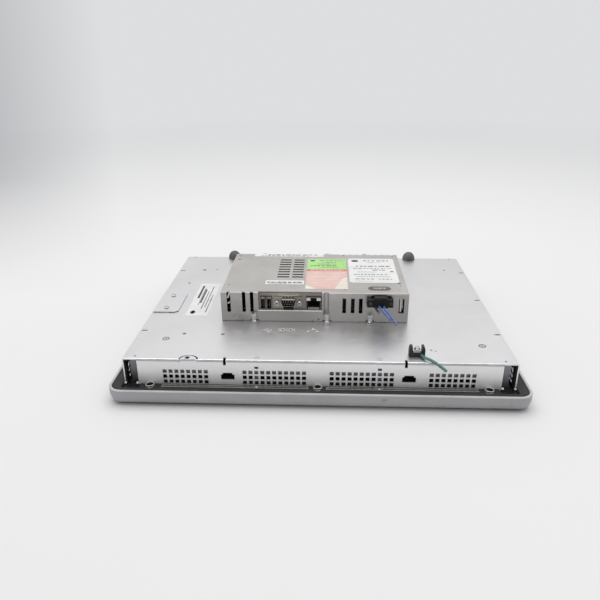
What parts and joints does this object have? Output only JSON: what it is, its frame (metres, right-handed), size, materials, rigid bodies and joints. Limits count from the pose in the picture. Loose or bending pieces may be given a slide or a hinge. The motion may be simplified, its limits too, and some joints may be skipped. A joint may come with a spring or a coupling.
{
  "type": "operator terminal",
  "caption": "Panel-mount touch screen terminal: wide bezel with gasket, vented sheet-metal housing and a removable logic module with ports, plug and captive screws.",
  "frame": {"origin": "middle of the bezel's front face, which lies on the floor: the terminal lies face down", "axes": "+X along the wide side, +Y towards the terminal's top edge (the ports face -Y, its bottom edge), +Z from the screen towards the back"},
  "size_m": [0.416, 0.329, 0.0787],
  "materials": {
    "bezel_paint": "satin powder coat",
    "gasket_rubber": "matt foam rubber",
    "foot_rubber": "matt",
    "screen_glass": "anti-glare gloss",
    "housing_sheet": "zinc-plated, satin",
    "module_sheet": "plated, satin",
    "inner_sheet": "plated, dull",
    "bright_steel": "nickel-plated",
    "aluminium": "extruded",
    "board": "solder-masked laminate",
    "black_plastic": "moulded",
    "card_plastic": "moulded",
    "blue_insulation": "extruded",
    "green_insulation": "extruded",
    "lamp_green": "clear moulding",
    "lamp_red": "clear moulding",
    "label_white": "printed, satin",
    "label_green": "printed, satin",
    "label_pink": "printed, satin",
    "label_grey": "printed, satin"
  },
  "bodies": {
    "terminal": {"bezel_frame": "bezel_paint", "power_lamp": "lamp_green", "fault_lamp": "lamp_red", "panel_gasket": "gasket_rubber", "touch_screen": "screen_glass", "lcd_panel": "inner_sheet", "inner_chassis": "inner_sheet", "display_board": "board", "docking_socket": "black_plastic", "inverter_board": "board", "display_housing": "housing_sheet", "flange_nut_1": "bright_steel", "flange_nut_2": "bright_steel", "flange_nut_3": "bright_steel", "flange_screw_1": "bright_steel", "flange_screw_2": "bright_steel", "access_cover": "housing_sheet", "cover_screw_1": "bright_steel", "cover_screw_2": "bright_steel", "rubber_foot_left": "foot_rubber", "rubber_foot_right": "foot_rubber", "ground_terminal": "black_plastic", "ground_clamp": "bright_steel", "ground_screw": "bright_steel", "ground_wire": "green_insulation", "back_label": "label_white"},
    "logic_module": {"module_base": "module_sheet", "module_cover": "module_sheet", "main_board": "board", "docking_plug": "black_plastic", "port_plate": "inner_sheet", "usb_port_1": "bright_steel", "usb_port_2": "bright_steel", "serial_port": "bright_steel", "jackscrew_1": "bright_steel", "jackscrew_2": "bright_steel", "ethernet_port": "bright_steel", "power_header": "black_plastic", "heat_sink": "aluminium", "clock_battery": "bright_steel", "card_socket": "black_plastic", "module_label_edge": "label_white", "module_label_green": "label_green", "module_label_notice": "label_pink", "module_label_rating": "label_white", "module_label_strip": "label_white", "module_label_oval": "label_grey"},
    "power_plug": {"power_plug": "black_plastic", "power_wire_1": "blue_insulation", "power_wire_2": "blue_insulation", "power_wire_3": "black_plastic"},
    "memory_card": {"memory_card": "card_plastic"},
    "card_eject_button": {"card_eject_button": "black_plastic"},
    "captive_screw_1": {"captive_screw_1": "bright_steel"},
    "captive_screw_2": {"captive_screw_2": "bright_steel"},
    "captive_screw_3": {"captive_screw_3": "bright_steel"},
    "captive_screw_4": {"captive_screw_4": "bright_steel"},
    "captive_screw_5": {"captive_screw_5": "bright_steel"},
    "captive_screw_6": {"captive_screw_6": "bright_steel"}
  },
  "joints": [
    {"name": "module_lift", "type": "slide", "parent": "terminal", "child": "logic_module", "axis": [0, 0, 1], "range_m": [0, 0.035]},
    {"name": "power_plug_pull", "type": "slide", "parent": "logic_module", "child": "power_plug", "axis": [0, -1, 0], "range_m": [0, 0.014]},
    {"name": "memory_card_pull", "type": "slide", "parent": "logic_module", "child": "memory_card", "axis": [0, 1, 0], "range_m": [0, 0.04]},
    {"name": "card_eject_push", "type": "slide", "parent": "logic_module", "child": "card_eject_button", "axis": [0, -1, 0], "range_m": [0, 0.004]},
    {"name": "captive_screw_1_lift", "type": "slide", "parent": "logic_module", "child": "captive_screw_1", "axis": [0, 0, 1], "range_m": [0, 0.005]},
    {"name": "captive_screw_2_lift", "type": "slide", "parent": "logic_module", "child": "captive_screw_2", "axis": [0, 0, 1], "range_m": [0, 0.005]},
    {"name": "captive_screw_3_lift", "type": "slide", "parent": "logic_module", "child": "captive_screw_3", "axis": [0, 0, 1], "range_m": [0, 0.005]},
    {"name": "captive_screw_4_lift", "type": "slide", "parent": "logic_module", "child": "captive_screw_4", "axis": [0, 0, 1], "range_m": [0, 0.005]},
    {"name": "captive_screw_5_lift", "type": "slide", "parent": "logic_module", "child": "captive_screw_5", "axis": [0, 0, 1], "range_m": [0, 0.005]},
    {"name": "captive_screw_6_lift", "type": "slide", "parent": "logic_module", "child": "captive_screw_6", "axis": [0, 0, 1], "range_m": [0, 0.005]}
  ]
}
